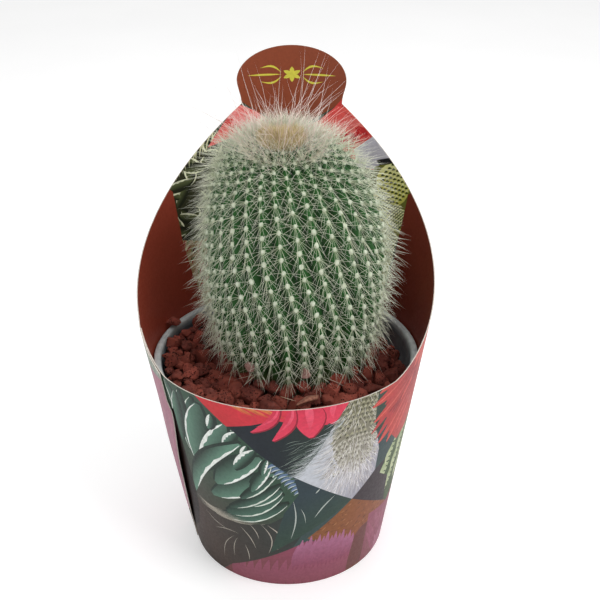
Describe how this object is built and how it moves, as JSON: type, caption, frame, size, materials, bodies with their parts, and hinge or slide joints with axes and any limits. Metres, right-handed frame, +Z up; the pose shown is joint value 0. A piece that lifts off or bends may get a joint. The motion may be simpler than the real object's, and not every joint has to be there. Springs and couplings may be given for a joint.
{
  "type": "potted round cactus",
  "caption": "Short round ribbed cactus in a plastic nursery pot topped with crushed lava, standing in a flared printed card sleeve with a tall rounded head panel.",
  "frame": {"origin": "middle of the pot's underside, on the surface that the pot and the sleeve stand on", "axes": "+Z up along the stem; the sleeve's low front edge faces -Y and its tall head panel is at +Y, turned about 4 degrees towards +X"},
  "size_m": [0.1164, 0.1247, 0.1907],
  "materials": {
    "sleeve_card": "satin",
    "pot_plastic": "matte",
    "soil": "matte",
    "lava": "matte",
    "stem_skin": "satin",
    "dry_bits": "matte"
  },
  "bodies": {
    "root": {"bark_chip": "dry_bits", "cactus_stem": "stem_skin", "dried_bud_left": "dry_bits", "dried_bud_right": "dry_bits", "grit_bed": "lava", "lava_flake_on_rim": "lava", "lava_stone_01": "lava", "lava_stone_02": "lava", "lava_stone_03": "lava", "lava_stone_04": "lava", "lava_stone_05": "lava", "lava_stone_06": "lava", "lava_stone_07": "lava", "lava_stone_08": "lava", "lava_stone_09": "lava", "lava_stone_10": "lava", "lava_stone_11": "lava", "lava_stone_12": "lava", "lava_stone_13": "lava", "lava_stone_14": "lava", "lava_stone_15": "lava", "lava_stone_16": "lava", "lava_stone_17": "lava", "lava_stone_18": "lava", "lava_stone_19": "lava", "lava_stone_20": "lava", "lava_stone_21": "lava", "lava_stone_22": "lava", "lava_stone_23": "lava", "lava_stone_24": "lava", "lava_stone_25": "lava", "lava_stone_26": "lava", "lava_stone_27": "lava", "lava_stone_28": "lava", "lava_stone_29": "lava", "lava_stone_30": "lava", "lava_stone_31": "lava", "lava_stone_32": "lava", "lava_stone_33": "lava", "lava_stone_34": "lava", "lava_stone_35": "lava", "lava_stone_36": "lava", "lava_stone_37": "lava", "lava_stone_38": "lava", "lava_stone_39": "lava", "lava_stone_40": "lava", "lava_stone_41": "lava", "lava_stone_42": "lava", "lava_stone_43": "lava", "lava_stone_44": "lava", "lava_stone_45": "lava", "lava_stone_46": "lava", "lava_stone_47": "lava", "nursery_pot": "pot_plastic", "potting_soil": "soil", "sleeve": "sleeve_card"}
  },
  "joints": []
}
